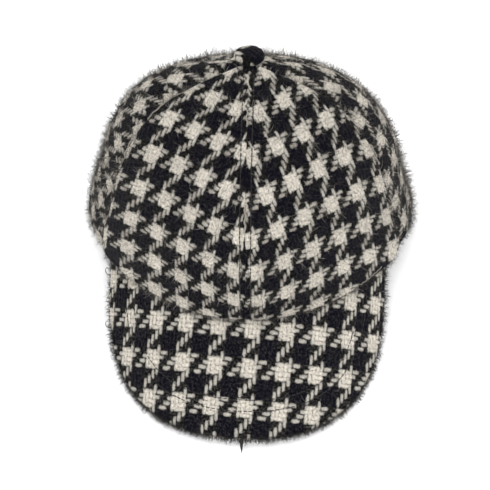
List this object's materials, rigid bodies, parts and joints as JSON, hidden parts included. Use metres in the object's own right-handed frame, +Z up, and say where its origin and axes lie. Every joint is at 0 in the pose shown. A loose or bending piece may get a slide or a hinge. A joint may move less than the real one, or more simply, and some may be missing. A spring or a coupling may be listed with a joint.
{
  "type": "houndstooth peaked cap",
  "caption": "Soft panelled cap in brushed houndstooth wool, with a curved peak at the front and a covered button on top.",
  "frame": {"origin": "centre of the bounding box on the table that the cap stands on", "axes": "+Z up, -Y the way the peak points, +X to the right seen from the front"},
  "size_m": [0.2059, 0.2579, 0.1538],
  "materials": {
    "crown_cloth": "brushed black and cream houndstooth wool",
    "peak_cloth": "black and cream houndstooth wool over a stiff board",
    "button_cloth": "black and cream wool"
  },
  "bodies": {
    "root": {"crown_front_left": "crown_cloth", "crown_front_right": "crown_cloth", "crown_side_left": "crown_cloth", "crown_side_right": "crown_cloth", "crown_back_left": "crown_cloth", "crown_back_right": "crown_cloth", "peak": "peak_cloth", "top_button": "button_cloth"}
  },
  "joints": []
}
